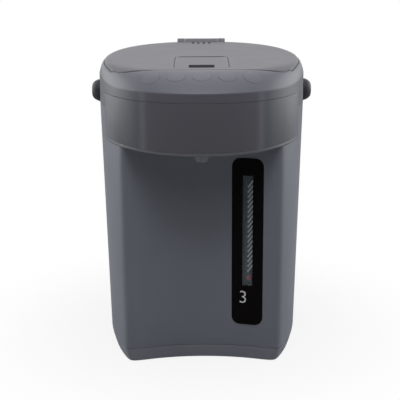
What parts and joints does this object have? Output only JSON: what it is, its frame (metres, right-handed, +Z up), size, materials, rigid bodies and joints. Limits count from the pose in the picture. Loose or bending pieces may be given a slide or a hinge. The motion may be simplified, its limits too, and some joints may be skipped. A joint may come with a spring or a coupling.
{
  "type": "electric thermo pot",
  "caption": "Electric thermo pot: oval body with a hollow front, nose with push buttons over the spout, hinged lid with a release lever, level gauge and carrying handle.",
  "frame": {"origin": "on the floor, at the middle of the object's footprint with its handle lying back; the handle's pivot axis is straight above it", "axes": "+Z up, -Y towards the spout and the front of the pot, +X to the right of someone standing behind it; the gauge is at +X"},
  "size_m": [0.22, 0.274, 0.291],
  "materials": {
    "body_plastic": "silver-grey metallic-look plastic, satin",
    "cover_plastic": "cool grey plastic, semi-gloss",
    "lid_plastic": "light cool grey plastic, semi-gloss",
    "nose_plastic": "dark grey plastic, semi-gloss",
    "dark_plastic": "charcoal plastic, fine grain",
    "base_plastic": "grey plastic, fine grain",
    "key_plastic": "light grey plastic key caps",
    "inner_plastic": "off-white plastic of the inside",
    "silicone": "translucent white silicone",
    "foot_rubber": "black rubber",
    "steel": "brushed stainless steel",
    "pin_steel": "polished steel",
    "shield_metal": "dull aluminium sheet",
    "mica_band": "band heater with a mica core",
    "motor_can": "zinc-plated motor can",
    "magnet_iron": "ferrite magnet in a carrier",
    "board_green": "glass-fibre circuit board",
    "component_black": "moulded component bodies",
    "contact_brass": "plated brass contacts",
    "gauge_black": "black glossy panel",
    "gauge_stripes": "slate and pale stripes behind the tube",
    "clear_tube": "clear tube",
    "clear_window": "clear window",
    "float_red": "red float"
  },
  "bodies": {
    "pot": {"base_tray": "base_plastic", "base_feet": "foot_rubber", "base_screws": "pin_steel", "body_sleeve": "body_plastic", "top_cover": "cover_plastic", "nose_cover": "nose_plastic", "nose_underplate": "nose_plastic", "mouth_ring": "inner_plastic", "inner_container": "steel", "container_seal": "silicone", "heat_shield": "shield_metal", "heater_band": "mica_band", "thermostat": "component_black", "pump_motor": "motor_can", "motor_bracket": "shield_metal", "pump_housing": "inner_plastic", "pump_cover": "inner_plastic", "impeller_shaft": "pin_steel", "inlet_hose": "silicone", "riser_hose": "silicone", "gauge_tube": "clear_tube", "gauge_fittings": "inner_plastic", "gauge_panel": "gauge_black", "gauge_window": "clear_window", "gauge_backing": "gauge_stripes", "spout_pipe": "inner_plastic", "spout_nozzle": "nose_plastic", "power_board": "board_green", "board_components": "component_black", "power_inlet": "dark_plastic", "inlet_pins": "contact_brass", "control_board": "board_green", "button_switches": "component_black", "hinge_block": "lid_plastic", "lid_hinge_pin": "pin_steel", "handle_pins": "pin_steel"},
    "lid": {"lid_cover": "lid_plastic", "lid_base": "lid_plastic", "lid_plug": "inner_plastic", "inner_lid": "steel", "lid_gasket": "silicone", "steam_duct": "dark_plastic", "lid_screws": "pin_steel", "lever_tray": "dark_plastic", "lever_pin": "pin_steel", "lever_spring": "pin_steel", "bolt_spring": "pin_steel"},
    "lever": {"latch_lever": "lid_plastic"},
    "bolt": {"latch_bolt": "inner_plastic"},
    "ball": {"steam_ball": "steel"},
    "handle": {"handle": "dark_plastic"},
    "magnet": {"drive_magnet": "magnet_iron"},
    "impeller": {"impeller": "inner_plastic"},
    "float": {"level_float": "float_red"},
    "unlock_key": {"unlock_button": "key_plastic"},
    "reboil_key": {"reboil_button": "key_plastic"},
    "dispense_key": {"dispense_button": "key_plastic"},
    "keep_warm_key": {"keep_warm_button": "key_plastic"},
    "timer_key": {"timer_button": "key_plastic"}
  },
  "joints": [
    {"name": "lid_hinge", "type": "hinge", "parent": "pot", "child": "lid", "pos_m": [0, 0.112, 0.284], "axis": [-1, 0, 0], "range_deg": [0, 80]},
    {"name": "lever_hinge", "type": "hinge", "parent": "lid", "child": "lever", "pos_m": [0, -0.017, 0.28228], "axis": [-1, 0, 0], "range_deg": [0, 18], "stiffness_Nm_per_rad": 0.05, "springref_deg": -8.59},
    {"name": "bolt_slide", "type": "slide", "parent": "lid", "child": "bolt", "axis": [0, 1, 0], "range_m": [0, 0.0045], "deforming": ["bolt_spring"]},
    {"name": "ball_slide", "type": "slide", "parent": "lid", "child": "ball", "axis": [0, 0, 1], "range_m": [0, 0.006]},
    {"name": "handle_hinge", "type": "hinge", "parent": "pot", "child": "handle", "pos_m": [0, 0, 0.2515], "axis": [1, 0, 0], "range_deg": [0, 110]},
    {"name": "magnet_spin", "type": "hinge", "parent": "pot", "child": "magnet", "pos_m": [-0.02, -0.03, 0.036], "axis": [0, 0, 1], "continuous": true},
    {"name": "impeller_spin", "type": "hinge", "parent": "pot", "child": "impeller", "pos_m": [-0.02, -0.03, 0.046], "axis": [0, 0, 1], "continuous": true},
    {"name": "float_slide", "type": "slide", "parent": "pot", "child": "float", "axis": [0, 0, 1], "range_m": [0, 0.1]},
    {"name": "unlock_press", "type": "slide", "parent": "pot", "child": "unlock_key", "axis": [0.269, 0.5171, -0.8125], "range_m": [0, 0.0008], "stiffness_N_per_m": 500, "springref_m": -0.0005},
    {"name": "reboil_press", "type": "slide", "parent": "pot", "child": "reboil_key", "axis": [0.0593, 0.4192, -0.9059], "range_m": [0, 0.0008], "stiffness_N_per_m": 500, "springref_m": -0.0005},
    {"name": "dispense_press", "type": "slide", "parent": "pot", "child": "dispense_key", "axis": [0, 0.3943, -0.919], "range_m": [0, 0.0008], "stiffness_N_per_m": 500, "springref_m": -0.0005},
    {"name": "keep_warm_press", "type": "slide", "parent": "pot", "child": "keep_warm_key", "axis": [-0.0593, 0.4192, -0.9059], "range_m": [0, 0.0008], "stiffness_N_per_m": 500, "springref_m": -0.0005},
    {"name": "timer_press", "type": "slide", "parent": "pot", "child": "timer_key", "axis": [-0.269, 0.5171, -0.8125], "range_m": [0, 0.0008], "stiffness_N_per_m": 500, "springref_m": -0.0005}
  ],
  "couplings": [
    {"joint": "bolt_slide", "follows": "lever_hinge", "m_per_rad": 0.01432},
    {"joint": "impeller_spin", "follows": "magnet_spin", "ratio": 1}
  ]
}
